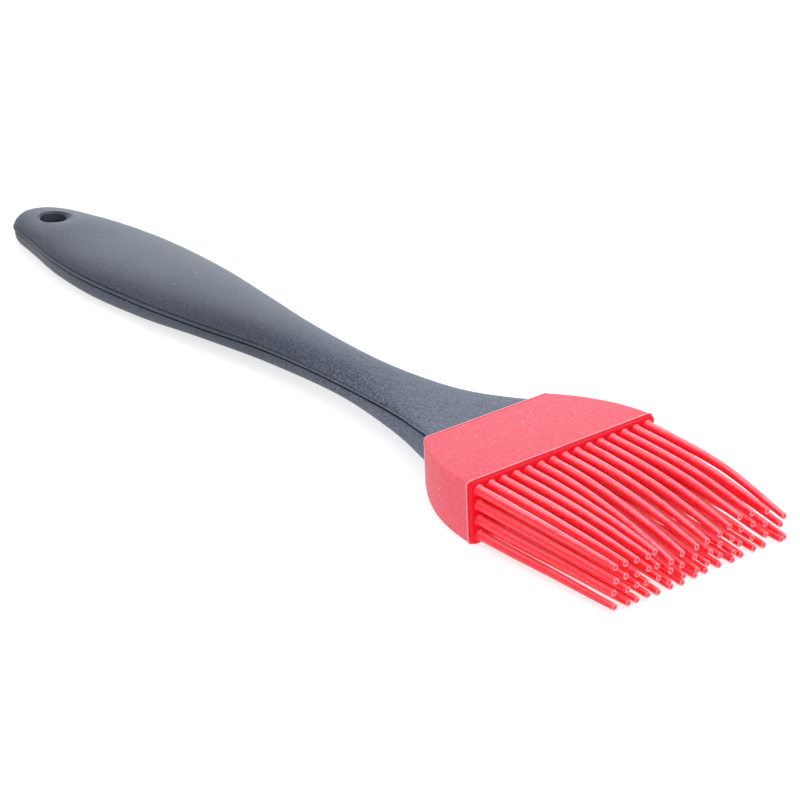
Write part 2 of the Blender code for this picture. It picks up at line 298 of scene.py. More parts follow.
def profile_block(name: str, aspect: float, *roundings: Rounding) -> bpy.types.Object:
    """Add a block with X from 0 to 1, Y from -1 to 1 and Z from 0 to 1 and rounded long edges.

    Args:
        name: The object's name.
        aspect: Half the block's width over its height while the edges are rounded.
        roundings: The roundings, at level 0 or 1.

    Returns:
        The block.
    """
    block = add_block(name, (0, -aspect, 0), (1, aspect, 1))
    for rounding in roundings:

        def at_level(a: Vector, b: Vector, level: float = rounding.level) -> bool:
            """Whether an edge runs along X, on a side and at the rounding's level."""
            along_x = abs(a.y - b.y) < TOUCH and abs(a.z - b.z) < TOUCH
            return along_x and abs(abs(a.y) - aspect) < TOUCH and abs(a.z - level) < TOUCH

        pick(block, Pick.EDGES, at_level)
        bpy.ops.mesh.bevel(
            offset=rounding.reach,
            segments=rounding.facets,
            profile=rounding.profile,
            affect="EDGES",
            clamp_overlap=False,
        )
        object_mode()
    block.data.transform(Matrix.Diagonal((1, 1 / aspect, 1, 1)))
    return block


def apply_modifier(piece: bpy.types.Object, kind: str, **settings: object) -> None:
    """Change a piece for good with a modifier.

    Args:
        piece: The object.
        kind: The modifier's type.
        settings: Its properties.
    """
    select_only(piece)
    step = piece.modifiers.new(kind.lower(), kind)
    for name, value in settings.items():
        setattr(step, name, value)
    bpy.ops.object.modifier_apply(modifier=step.name)


def cut_away(piece: bpy.types.Object, cutter: bpy.types.Object) -> None:
    """Take a cutter out of a piece for good, and keep the cutter."""
    apply_modifier(piece, "BOOLEAN", operation="DIFFERENCE", object=cutter)


def throw_away(cutter: bpy.types.Object) -> None:
    """Remove a cutter that has done its work, and its mesh.

    Args:
        cutter: The cutter.
    """
    mesh = cutter.data
    bpy.data.objects.remove(cutter, do_unlink=True)
    bpy.data.meshes.remove(mesh)


def round_edges(piece: bpy.types.Object, width: float, segments: int) -> None:
    """Round a piece's edges that are sharper than 30 degrees, for good."""
    sharp = {"limit_method": "ANGLE", "angle_limit": math.radians(30)}
    apply_modifier(piece, "BEVEL", width=width, segments=segments, **sharp)


def shade_smooth(piece: bpy.types.Object, angle: float = 35) -> None:
    """Shade a piece smoothly, apart from edges sharper than so many degrees."""
    select_only(piece)
    bpy.ops.object.shade_smooth_by_angle(angle=math.radians(angle))


def turned_cutter(name: str, x: float, stretch: float, profile: list[Pair]) -> bpy.types.Object:
    """Add an oval cutter, turned about an upright axis.

    Args:
        name: The object's name.
        x: Where its axis stands on X.
        stretch: Its length along X over its width along Y.
        profile: (radius, height) pairs from bottom to top.

    Returns:
        The cutter.
    """
    select_nothing()
    radius, height = profile[0]
    place = (x, 0, height)
    bpy.ops.mesh.primitive_circle_add(vertices=64, radius=radius, fill_type="NGON", location=place)
    cutter = named(name)
    pick(cutter, Pick.FACES, anywhere)
    resize((stretch, 1, 1), place)
    for (radius_a, height_a), (radius_b, height_b) in zip(profile, profile[1:]):
        extrude(0, 0, height_b - height_a)
        grow = radius_b / radius_a
        resize((grow, grow, 1), (x, 0, height_b))
    face_outwards()
    return cutter


class SlicedNode:
    """A CAD node that is read slice by slice along X."""

    def __init__(self, name: str) -> None:
        """Read the node's edges.

        Args:
            name: The CAD node.
        """
        mesh = frame["nodes"][name].data
        places = np.array([v.co for v in mesh.vertices])
        ends = np.array([e.vertices for e in mesh.edges])
        self.starts = places[ends[:, 0]]
        self.stops = places[ends[:, 1]]
        self.low_x = float(places[:, 0].min())
        self.high_x = float(places[:, 0].max())

    def at(self, x: float) -> Section:
        """Slice the node.

        Args:
            x: Where along X. Past an end, the slice at that end is read.

        Returns:
            The slice's outer size.
        """
        inside = min(max(x, self.low_x + TOUCH), self.high_x - TOUCH)
        before = self.starts[:, 0] - inside
        after = self.stops[:, 0] - inside
        crossing = (before * after <= 0) & (before != after)
        share = (before[crossing] / (before - after)[crossing])[:, None]
        points = self.starts[crossing] * (1 - share) + self.stops[crossing] * share
        ys, zs = np.abs(points[:, 1]), points[:, 2]
        return Section(x, float(ys.max()), float(zs.min()), float(zs.max()))

    def through(self, places: list[float]) -> list[Section]:
        """Slice the node at each of the places."""
        return [self.at(x) for x in places]


# ------------------------------------------------------------------------------
# Finishes
# ------------------------------------------------------------------------------


class Graph:
    """A node tree that is wired with short calls."""

    def __init__(self, tree: bpy.types.NodeTree) -> None:
        """Take hold of a tree."""
        self.tree = tree
        self.column = 0

    def add(self, kind: str, **settings: object) -> bpy.types.Node:
        """Add a node.

        Args:
            kind: Its type, without the ShaderNode prefix.
            settings: Its properties, or its inputs' values by the input's name in lower case.

        Returns:
            The node.
        """
        node = self.tree.nodes.new("ShaderNode" + kind)
        self.column += 1
        node.location = (180 * self.column, 0)
        inputs = {socket.name.lower(): socket for socket in node.inputs if socket.enabled}
        for name, value in settings.items():
            if name in inputs and not hasattr(node, name):
                inputs[name].default_value = value
            else:
                setattr(node, name, value)
        return node

    def link(self, source: bpy.types.NodeSocket, target: bpy.types.NodeSocket) -> None:
        """Join an output to an input."""
        self.tree.links.new(source, target)

    def feed(self, target: bpy.types.NodeSocket, value: object) -> None:
        """Give an input a value.

        Args:
            target: The input.
            value: An output to join to it, a number or a colour.
        """
        if isinstance(value, bpy.types.NodeSocket):
            self.link(value, target)
        else:
            target.default_value = (*value, 1.0) if isinstance(value, tuple) else value

    def math(self, operation: str, first: Number, second: Number) -> bpy.types.NodeSocket:
        """Add a Math node.

        Args:
            operation: Blender's name of the operation.
            first: An output or a number.
            second: An output or a number.

        Returns:
            The node's output.
        """
        node = self.add("Math", operation=operation)
        self.feed(node.inputs[0], first)
        self.feed(node.inputs[1], second)
        return node.outputs[0]

    def mix(self, share: bpy.types.NodeSocket, low: object, high: object) -> bpy.types.NodeSocket:
        """Mix two colours.

        Args:
            share: How much of the second.
            low: The first colour or its output.
            high: The second colour or its output.

        Returns:
            The mixed colour's output.
        """
        node = self.add("Mix", data_type="RGBA")
        for place, value in ((0, share), (6, low), (7, high)):
            self.feed(node.inputs[place], value)
        return node.outputs[2]

    def window(
        self, value: bpy.types.NodeSocket, low: float, high: float, to: Pair = (0.0, 1.0)
    ) -> bpy.types.NodeSocket:
        """Stretch a stretch of values to another, clamped and smooth.

        Args:
            value: The value's output.
            low: Where the stretch begins.
            high: Where it ends.
            to: What its two ends become.

        Returns:
            The new value's output.
        """
        node = self.add("MapRange", interpolation_type="SMOOTHSTEP")
        names = ("Value", "From Min", "From Max", "To Min", "To Max")
        for name, number in zip(names, (value, low, high, *to)):
            self.feed(node.inputs[name], number)
        return node.outputs["Result"]

    def noise(
        self, where: bpy.types.NodeSocket, scale: Number, detail: float, roughness: float = 0.5
    ) -> bpy.types.NodeOutputs:
        """Add a noise texture.

        Args:
            where: The coordinates it reads.
            scale: Its cells per metre.
            detail: Its octaves.
            roughness: How strongly the finer octaves show.

        Returns:
            The node's outputs, the grey noise first.
        """
        node = self.add("TexNoise", detail=detail, roughness=roughness)
        self.link(where, node.inputs["Vector"])
        self.feed(node.inputs["Scale"], scale)
        return node.outputs

    def place(
        self, group: bpy.types.NodeTree, where: bpy.types.NodeSocket, **values: Number
    ) -> bpy.types.NodeOutputs:
        """Place a shared node group.

        Args:
            group: The group.
            where: The coordinates it reads.
            values: Its other inputs, by the input's name in lower case.

        Returns:
            The group's outputs.
        """
        node = self.add("Group", node_tree=group)
        self.link(where, node.inputs["Vector"])
        for name, value in values.items():
            self.feed(node.inputs[name.capitalize()], value)
        return node.outputs


def new_group(
    name: str, inputs: dict[str, float | None], outputs: tuple[str, ...]
) -> tuple[Graph, bpy.types.NodeOutputs, bpy.types.NodeInputs]:
    """Start a shader node group that puts out masks, tones or heights.

    Args:
        name: The group's name.
        inputs: Each input's default number by name, or None for a vector.
        outputs: The outputs' names.

    Returns:
        The group's graph, what it is given, and what it gives.
    """
    tree = bpy.data.node_groups.new(name, "ShaderNodeTree")
    for label, value in inputs.items():
        kind = "NodeSocketVector" if value is None else "NodeSocketFloat"
        socket = tree.interface.new_socket(name=label, in_out="INPUT", socket_type=kind)
        if value is not None:
            socket.default_value = value
    for label in outputs:
        tree.interface.new_socket(name=label, in_out="OUTPUT", socket_type="NodeSocketFloat")
    given, result = tree.nodes.new("NodeGroupInput"), tree.nodes.new("NodeGroupOutput")
    return Graph(tree), given.outputs, result.inputs


def build_grain() -> bpy.types.NodeTree:
    """Fine eroded grain of a moulded surface: a light and dark speckle and its height.

    Returns:
        The node group.
    """
    finer, fine_share = 2.3, 0.35
    darkest, lightest = 0.36, 0.64
    inputs = {"Vector": None, "Size": 0.3}
    graph, given, result = new_group("eroded_grain", inputs, ("Speckle", "Height"))
    scale = graph.math("DIVIDE", 1 / MM, given["Size"])
    fine_scale = graph.math("MULTIPLY", scale, finer)
    coarse = graph.noise(given["Vector"], scale, detail=2.0, roughness=0.6)
    fine = graph.noise(given["Vector"], fine_scale, detail=1.0)
    coarse_part = graph.math("MULTIPLY", coarse[0], 1 - fine_share)
    height = graph.math("ADD", coarse_part, graph.math("MULTIPLY", fine[0], fine_share))
    graph.link(graph.window(height, darkest, lightest), result["Speckle"])
    graph.link(height, result["Height"])
    return graph.tree


def build_drift() -> bpy.types.NodeTree:
    """Slow drift of the tone over a surface, a little above and below nothing.

    Returns:
        The node group.
    """
    inputs = {"Vector": None, "Amount": 0.25}
    graph, given, result = new_group("tone_drift", inputs, ("Tone",))
    noise = graph.noise(given["Vector"], 55.0, detail=2.0)
    centred = graph.math("SUBTRACT", noise[0], 0.5)
    graph.link(graph.math("MULTIPLY", centred, given["Amount"]), result["Tone"])
    return graph.tree


def build_painted_highlight() -> bpy.types.NodeTree:
    """Painted highlight: a paler colour on what faces up, broken into fine streaks along X.

    Returns:
        The node group.
    """
    along, across = 0.10, 2.6
    starts_at = 0.55
    thinnest, thickest = 0.45, 1.45
    inputs = {"Vector": None, "Facing": 0.0, "Strength": 0.5}
    graph, given, result = new_group("painted_top_highlight", inputs, ("Mask",))
    stretch = graph.add("Mapping", vector_type="POINT", scale=(along, across, across))
    graph.link(given["Vector"], stretch.inputs["Vector"])
    streak = graph.noise(stretch.outputs[0], 1 / MM, detail=2.0)
    broken = graph.window(streak[0], 0.3, 0.7, (thinnest, thickest))
    mask = graph.math("MULTIPLY", graph.window(given["Facing"], starts_at, 1.0), broken)
    graph.link(graph.math("MULTIPLY", mask, given["Strength"]), result["Mask"])
    return graph.tree


def build_dust() -> bpy.types.NodeTree:
    """Scattered specks of dust and lint: a mask that is 1 on a speck.

    Returns:
        The node group.
    """
    wobble_size, smallest = 0.35 * MM, 0.3
    inputs = {"Vector": None, "Spacing": 1.3, "Share": 0.2, "Reach": 0.15}
    graph, given, result = new_group("dust_specks", inputs, ("Mask",))
    wobble = graph.noise(given["Vector"], 900.0, detail=2.0)
    bent = graph.add("MixRGB", blend_type="ADD")
    bent.inputs[0].default_value = wobble_size
    graph.link(given["Vector"], bent.inputs[1])
    graph.link(wobble["Color"], bent.inputs[2])
    cells = graph.add("TexVoronoi", feature="F1")
    graph.link(bent.outputs[0], cells.inputs["Vector"])
    graph.link(graph.math("DIVIDE", 1 / MM, given["Spacing"]), cells.inputs["Scale"])
    parts = graph.add("SeparateColor")
    graph.link(cells.outputs["Color"], parts.inputs[0])
    chosen = graph.math("LESS_THAN", parts.outputs[0], given["Share"])
    size = graph.math("ADD", parts.outputs[1], smallest)
    reach = graph.math("MULTIPLY", given["Reach"], size)
    near = graph.math("SUBTRACT", 1.0, graph.math("DIVIDE", cells.outputs["Distance"], reach))
    speck = graph.window(near, 0.0, 0.6)
    graph.link(graph.math("MULTIPLY", chosen, speck), result["Mask"])
    return graph.tree


class Groups:
    """The node groups that several finishes share, each built once."""

    grain: bpy.types.NodeTree
    drift: bpy.types.NodeTree
    top_highlight: bpy.types.NodeTree
    dust: bpy.types.NodeTree

    @classmethod
    def build(cls) -> None:
        """Build them all."""
        cls.grain, cls.drift = build_grain(), build_drift()
        cls.top_highlight, cls.dust = build_painted_highlight(), build_dust()


RED_REACH = (1.0, 0.15, 0.12)  # how far red, green and blue light travel in silicone, as shares
PAINTED_RED_GLOW = (1.0, 0.0, 0.02)  # colour of a painted red glow: emission that stands in for the light that silicone carries round a corner into its shade
GRAIN_ROUGHENS = 0.08
DUST_ROUGHENS = 0.2


@dataclass(frozen=True)
class Finish:
    """A moulded plastic or rubber finish with grain, slow drift, dust, perhaps a painted highlight on what faces
    up and perhaps a painted red glow.
    """

    name: str
    colour: Colour
    pale: Colour
    roughness: float
    grain_size: float
    grain_colour: float
    grain_depth: float
    dust_share: float
    dust_colour: Colour
    specular: float = 0.5
    coat: float = 0.0
    coat_roughness: float = 0.3
    sheen: float = 0.0
    sheen_tint: Colour = (1.0, 1.0, 1.0)
    subsurface: float = 0.0
    subsurface_reach: float = 1.0 * MM
    painted_highlight_strength: float = 0.0
    grain_roughness: float = 0.0
    # Strength of a painted red glow, emission that lights shaded silicone from within.
    painted_glow: float = 0.0

    def build(self) -> bpy.types.Material:
        """Build the material.

        Returns:
            The material.
        """
        material = bpy.data.materials.new(self.name)
        material.use_nodes = True
        graph = Graph(material.node_tree)
        sockets = material.node_tree.nodes["Principled BSDF"].inputs
        where = graph.add("TexCoord").outputs["Object"]
        grain = graph.place(Groups.grain, where, size=self.grain_size)
        dust = graph.place(Groups.dust, where, share=self.dust_share)["Mask"]
        strength = self.speckle_strength(graph, where)

        speckled = graph.math("MULTIPLY", strength, grain["Speckle"])
        tone = graph.math("ADD", speckled, graph.place(Groups.drift, where)["Tone"])
        # Painted highlight: the tone is raised towards the pale colour where the surface faces up.
        if self.painted_highlight_strength > 0:
            tone = graph.math("ADD", tone, self.top_highlight(graph, where))
        base = graph.mix(graph.window(tone, 0.0, 1.0), self.colour, self.pale)
        graph.link(graph.mix(dust, base, self.dust_colour), sockets["Base Color"])

        crisp = graph.math("MULTIPLY", strength, self.grain_roughness)
        rough = graph.math("ADD", self.roughness, crisp)
        for mask, gain in ((grain["Speckle"], GRAIN_ROUGHENS), (dust, DUST_ROUGHENS)):
            rough = graph.math("ADD", rough, graph.math("MULTIPLY", mask, gain))
        graph.link(rough, sockets["Roughness"])

        bump = graph.add("Bump", strength=1.0, distance=self.grain_depth)
        graph.link(grain["Height"], bump.inputs["Height"])
        graph.link(bump.outputs[0], sockets["Normal"])

        for socket, value in (
            ("Specular IOR Level", self.specular),
            ("Coat Weight", self.coat),
            ("Coat Roughness", self.coat_roughness),
            ("Sheen Weight", self.sheen),
            ("Sheen Tint", (*self.sheen_tint, 1.0)),
            ("Subsurface Weight", self.subsurface),
            ("Subsurface Scale", self.subsurface_reach),
            ("Subsurface Radius", RED_REACH),
            ("Emission Color", (*PAINTED_RED_GLOW, 1.0)),
            ("Emission Strength", self.painted_glow),
        ):
            sockets[socket].default_value = value
        return material

    def top_highlight(self, graph: Graph, where: bpy.types.NodeSocket) -> bpy.types.NodeSocket:
        """Mask of the painted highlight on what faces up.

        Args:
            graph: The material's graph.
            where: The coordinates.

        Returns:
            The mask's output.
        """
        facing_up = graph.add("SeparateXYZ")
        graph.link(graph.add("NewGeometry").outputs["Normal"], facing_up.inputs[0])
        upward = facing_up.outputs["Z"]
        return graph.place(Groups.top_highlight, where, facing=upward, strength=self.painted_highlight_strength)["Mask"]

    def speckle_strength(self, graph: Graph, where: bpy.types.NodeSocket) -> Number:
        """How strongly the grain shows in the colour, the same everywhere."""
        return self.grain_colour


@dataclass(frozen=True)
class HandleFinish(Finish):
    """Moulded nylon, whose grain is crisp near the head and worn smooth by the hand."""

    crisp_x: float = 0.05
    worn_x: float = -0.02
    worn_share: float = 0.35

    def speckle_strength(self, graph: Graph, where: bpy.types.NodeSocket) -> Number:
        """How strongly the grain shows in the colour, fading along the handle.

        Args:
            graph: The material's graph.
            where: The coordinates.

        Returns:
            The strength's output.
        """
        parts = graph.add("SeparateXYZ")
        graph.link(where, parts.inputs[0])
        strengths = (self.grain_colour * self.worn_share, self.grain_colour)
        return graph.window(parts.outputs["X"], self.worn_x, self.crisp_x, strengths)


HANDLE_NYLON = HandleFinish(
    name="handle_nylon",
    colour=(0.024, 0.030, 0.050),
    pale=(0.125, 0.145, 0.205),
    roughness=0.42,
    grain_size=0.42,
    grain_colour=1.2,
    grain_depth=0.11 * MM,
    grain_roughness=0.15,
    dust_share=0.05,
    dust_colour=(0.35, 0.37, 0.42),
    specular=0.55,
)
TANG_NYLON = Finish(
    name="tang_nylon",
    colour=(0.055, 0.060, 0.075),
    pale=(0.110, 0.118, 0.140),
    roughness=0.42,
    grain_size=0.6,
    grain_colour=0.4,
    grain_depth=0.01 * MM,
    dust_share=0.03,
    dust_colour=(0.3, 0.3, 0.33),
)
SLEEVE_SILICONE = Finish(
    name="sleeve_silicone",
    colour=(0.80, 0.070, 0.102),
    pale=(0.86, 0.160, 0.205),
    roughness=0.68,
    grain_size=0.40,
    grain_colour=0.8,
    grain_depth=0.05 * MM,
    dust_share=0.40,
    dust_colour=(1.0, 0.55, 0.60),
    specular=0.3,
    sheen=0.10,
    sheen_tint=(1.0, 0.75, 0.78),
    subsurface=0.10,
)
# The flash is modelled; its silicone is paler than the sleeve's, a painted highlight along the edge of both rims.
FLASH_HIGHLIGHT_SILICONE = Finish(
    name="flash_painted_highlight",
    colour=(0.95, 0.30, 0.36),
    pale=(1.00, 0.45, 0.50),
    roughness=0.40,
    grain_size=0.5,
    grain_colour=0.5,
    grain_depth=0.01 * MM,
    dust_share=0.1,
    dust_colour=(1.0, 0.8, 0.8),
    subsurface=0.2,
)
BRISTLE_SILICONE = Finish(
    name="bristle_silicone",
    colour=(0.93, 0.012, 0.030),
    pale=(1.00, 0.200, 0.245),
    roughness=0.38,
    grain_size=0.7,
    grain_colour=0.25,
    grain_depth=0.012 * MM,
    dust_share=0.10,
    dust_colour=(0.95, 0.35, 0.38),
    specular=0.25,
    coat=0.35,
    coat_roughness=0.12,
    subsurface=0.20,
    subsurface_reach=0.6 * MM,
    # A painted highlight pales the bristles where they face up.
    painted_highlight_strength=0.95,
    # A painted red glow lifts the red in the shade between bristles.
    painted_glow=0.05,
)
# The base's colour is a darker, deeper red than the bristles' silicone: painted shade of the recess between the
# sleeve's rim and the bristle roots.
SHADED_BASE_SILICONE = Finish(
    name="base_silicone_painted_shade",
    colour=(0.62, 0.004, 0.014),
    pale=(0.75, 0.014, 0.030),
    roughness=0.40,
    grain_size=0.6,
    grain_colour=0.5,
    grain_depth=0.012 * MM,
    dust_share=0.03,
    dust_colour=(0.95, 0.35, 0.38),
    specular=0.15,
    # A painted red glow lifts the red of the base's shaded slab.
    painted_glow=0.16,
)
TIP_SILICONE = Finish(
    name="tip_silicone",
    colour=(0.85, 0.22, 0.26),
    pale=(0.90, 0.32, 0.36),
    roughness=0.45,
    grain_size=0.3,
    grain_colour=0.5,
    grain_depth=0.01 * MM,
    dust_share=0.1,
    dust_colour=(1.0, 0.7, 0.7),
    subsurface=0.3,
)


SHELF: dict[str, bpy.types.Material] = {}


def dress(piece: bpy.types.Object, *finishes: Finish) -> None:
    """Give a piece its finishes, the first one all over.

    Args:
        piece: The object.
        finishes: The finishes. Each one's material is built the first time that it is asked for.
    """
    piece.data.materials.clear()
    for finish in finishes:
        if finish.name not in SHELF:
            SHELF[finish.name] = finish.build()
        piece.data.materials.append(SHELF[finish.name])


def paint(piece: bpy.types.Object, slot: int, wanted: FaceTest) -> None:
    """Give some faces another of the piece's finishes.

    Args:
        piece: The object.
        slot: Which finish, 0 being the first.
        wanted: A test of a face.
    """
    object_mode()
    for face in piece.data.polygons:
        if wanted(face):
            face.material_index = slot


# ------------------------------------------------------------------------------
# Handle
# ------------------------------------------------------------------------------


@dataclass
class Handle:
    """The moulded handle: a crowned upper half over a flat-bellied lower half, with a seam between.

    A bead ring is a height and a width, as shares of the upper half's height and width.
    """

    sections: int = 66
    end_sections: int = 16
    end_length: float = 9.0 * MM
    end_step: float = 0.02 * MM
    crown: Rounding = Rounding(1.0, 0.985, 16, 0.53)
    bead_rings: tuple[Pair, ...] = (
        (0.03, 1.0),
        (0.08, 1.0),
        (0.125, 0.990),
        (0.165, 0.980),
        (0.22, 0.995),
    )
    ring_reach: float = 0.004
    bead_top: float = 0.14
    crown_width: float = 0.970
    belly: tuple[Rounding, ...] = (Rounding(0.0, 0.72, 10), Rounding(1.0, 0.07, 2))
    belly_lift: float = 2.1 * MM
    end_setback: float = 0.03 * MM
    end_flush: float = 0.15 * MM
    groove: float = 0.24 * MM
    groove_gain: float = 0.36 * MM
    groove_fade: float = 0.85
    wide_from: float = 0.0 * MM
    wide_to: float = 45.0 * MM
    tongue_inset: float = 1.1 * MM
    tongue_rise: float = 0.24 * MM
    hole_reach: float = 6.5 * MM
    hole_width: float = 5.2 * MM
    hole_stretch: float = 6.8 / 5.8
    hole_flare: float = 0.6 * MM
    hole_flare_rise: float = 0.8 * MM
    dish_width: float = 12.0 * MM
    dish_depth: float = 1.25 * MM
    dish_spread: float = 1.3
    dish_fall: float = 1.5
    dish_ease: float = 0.9 * MM
    upper: SlicedNode = field(default_factory=lambda: SlicedNode("handle_upper_half"))
    lower: SlicedNode = field(default_factory=lambda: SlicedNode("handle_lower_half"))

    def places(self) -> list[float]:
        """Choose where the sections lie.

        Returns:
            Places along X from the head to the round end, where they crowd together.
        """
        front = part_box("head_sleeve")[0].x - HAIRLINE
        begin = self.upper.low_x + self.end_length
        bend = self.end_length - self.end_step
        straight = [front + (begin - front) * i / self.sections for i in range(self.sections)]
        quarter = [math.pi / 2 * i / self.end_sections for i in range(self.end_sections + 1)]
        return straight + [begin - bend * math.sin(angle) for angle in quarter]

    def steady(self, sections: list[Section], hole_x: float) -> list[Section]:
        """Bridge the slices that the hanging hole cuts into with a straight run of top heights.

        Args:
            sections: The slices, from the head to the end.
            hole_x: Where the hole's middle is.

        Returns:
            The slices, as if there were no hole.
        """
        outside = [s for s in reversed(sections) if abs(s.x - hole_x) > self.hole_reach]
        xs, highs = [s.x for s in outside], [s.high for s in outside]
        mended = []
        for s in sections:
            bridged = float(np.interp(s.x, xs, highs))
            high = bridged if abs(s.x - hole_x) <= self.hole_reach else s.high
            mended.append(Section(s.x, s.half_width, s.low, high))
        return mended

    def build_upper(self, places: list[float], hole_x: float) -> bpy.types.Object:
        """Model the crowned half with its bead along the seam.

        Args:
            places: Where its sections lie.
            hole_x: Where the hanging hole's middle is.

        Returns:
            The half.
        """
        block = profile_block("handle_upper", 1.0, self.crown)
        for height, _ in self.bead_rings:
            pick(block, Pick.FACES, anywhere)
            bpy.ops.mesh.bisect(plane_co=(0, 0, height), plane_no=(0, 0, 1))
        pick(block, Pick.VERTICES, lambda place, _: place.z > self.bead_top)
        resize((1, self.crown_width, 1), (0, 0, 0))
        for height, width in self.bead_rings:

            def on_ring(place: Vector, _: Vector, height: float = height) -> bool:
                """Whether a vertex is at the ring's height."""
                return abs(place.z - height) < self.ring_reach

            pick(block, Pick.VERTICES, on_ring)
            resize((1, width, 1), (0, 0, 0))
        draw_out(block, self.steady(self.upper.through(places), hole_x))
        return block

    def build_lower(self, places: list[float]) -> bpy.types.Object:
        """Model the lower half with upright sides, rounded belly edges and a tongue under the seam.

        The groove, which is the gap under the seam, widens towards the head and fades at the end.

        Args:
            places: Where its sections lie.

        Returns:
            The half.
        """
        block = profile_block("handle_lower", 3.0, *self.belly)
        sections = []
        for sliced in self.lower.through(places):
            into_end = share_of(sliced.x, places[-1] + self.end_length, places[-1])
            lift = self.belly_lift * (1 - math.sqrt(1 - into_end ** 2))
            groove = self.groove * (1 - self.groove_fade * into_end ** 2)
            groove += self.groove_gain * share_of(sliced.x, self.wide_from, self.wide_to)
            end = sliced.moved(sliced.x + self.end_setback * into_end)
            sections.append(end.grown(self.end_flush * into_end, -lift, -groove))
        draw_out(block, sections)
        pick(block, Pick.FACES, facing(2, 1))
        bpy.ops.mesh.inset(thickness=self.tongue_inset, depth=0, use_even_offset=True)
        extrude(0, 0, self.groove + self.groove_gain + self.tongue_rise)
        object_mode()
        return block

    def hole_cutter(self, hole_x: float) -> bpy.types.Object:
        """Model what cuts the hanging hole, with its flared foot and its softly dished lip.

        Args:
            hole_x: Where its middle is.

        Returns:
            The cutter.
        """
        top = self.upper.at(hole_x + self.hole_reach).high
        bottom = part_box("handle_lower_half")[0].z
        throat, dish = self.hole_width / 2, self.dish_width / 2
        flare, rise, ease = self.hole_flare, self.hole_flare_rise, self.dish_ease
        profile = [(throat + flare + OVERCUT, bottom - OVERCUT), (throat + flare, bottom - SEAT)]
        for i in range(1, 5):
            angle = math.pi / 8 * i
            foot = throat + flare * (1 - math.sin(angle))
            profile.append((foot, bottom + rise * (1 - math.cos(angle))))
        for i in range(8):
            share = i / 7
            reach = throat + (dish - throat) * share ** self.dish_spread
            profile.append((reach, top - self.dish_depth * (1 - share) ** self.dish_fall))
        profile.append((dish + ease * 0.4, top + ease * 0.12))
        profile.append((dish + ease, top + ease * 0.6))
        profile.append((dish + ease, top + 3 * OVERCUT))
        return turned_cutter("hole_cutter", hole_x, self.hole_stretch, profile)

    def build(self) -> list[bpy.types.Object]:
        """Model both halves, cut them and dress them.

        Returns:
            The upper and the lower half.
        """
        opening = frame["record"]["physics"]["openings"][0]["box_m"]
        hole_x = (opening[0][0] + opening[1][0]) / 2
        places = self.places()
        upper = self.build_upper(places, hole_x)
        lower = self.build_lower(places)
        hole = self.hole_cutter(hole_x)
        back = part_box("tang")[0].x
        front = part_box("head_sleeve")[0].x
        stem = SlicedNode("tang").at(back + 2 * PROBE).eased(HAIRLINE)
        slot = add_block(
            "stem_slot",
            (back - HAIRLINE, -stem.half_width, stem.low),
            (front + OVERCUT, stem.half_width, stem.high),
        )
        for half, node in ((upper, "handle_upper_half"), (lower, "handle_lower_half")):
            cut_away(half, hole)
            cut_away(half, slot)
            shade_smooth(half)
            dress(half, HANDLE_NYLON)
            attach(half, "handle")
            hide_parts(node)
        throw_away(hole)
        throw_away(slot)
        return [upper, lower]


@dataclass
class Tang:
    """The spade tang with moulded ribs that grip the sleeve."""

    shoulder_gap: float = 0.3 * MM
    ribs: int = 5
    rib_depth: float = 0.5 * MM
    rib_slope: float = 0.35 * MM
    edge_width: float = 0.3 * MM

    def build(self) -> list[bpy.types.Object]:
        """Model the tang over its CAD node and dress it.

        Returns:
            The tang.
        """
        sliced = SlicedNode("tang")
        low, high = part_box("tang")
        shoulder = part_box("head_sleeve")[0].x + self.shoulder_gap
        stem = sliced.at(low.x + PROBE)
        blade = sliced.at(high.x - PROBE)
        stem_end = (shoulder, stem.half_width, stem.high)
        tang = add_block("tang_blade", (low.x, -stem.half_width, stem.low), stem_end)
        pick(tang, Pick.FACES, facing(0, 1))
        bpy.ops.mesh.inset(thickness=LEDGE, depth=0)
        widen = (1, blade.half_width / stem.half_width, blade.height / stem.height)
        resize(widen, (shoulder, 0, stem.middle))
        stretches = 2 * self.ribs + 1
        step = (high.x - shoulder) / stretches
        for _ in range(stretches):
            extrude(step, 0, 0)

        def in_valley(centre: Vector, normal: Vector) -> bool:
            """Whether a face lies on top of or under every other stretch of the blade."""
            odd = int((centre.x - shoulder) / step) % 2 == 1
            return abs(normal.z) > SQUARE_ON and centre.x > shoulder and odd

        pick(tang, Pick.FACES, in_valley)
        bpy.ops.mesh.inset(thickness=self.rib_slope, depth=-self.rib_depth, use_individual=True)
        round_edges(tang, self.edge_width, 3)
        shade_smooth(tang)
        dress(tang, TANG_NYLON)
        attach(tang, "handle")
        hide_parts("tang")
        return [tang]


# ------------------------------------------------------------------------------
# Head
# ------------------------------------------------------------------------------

BASE_THICKNESS = 0.9 * MM  # how far the base stands out of the sleeve's mouth


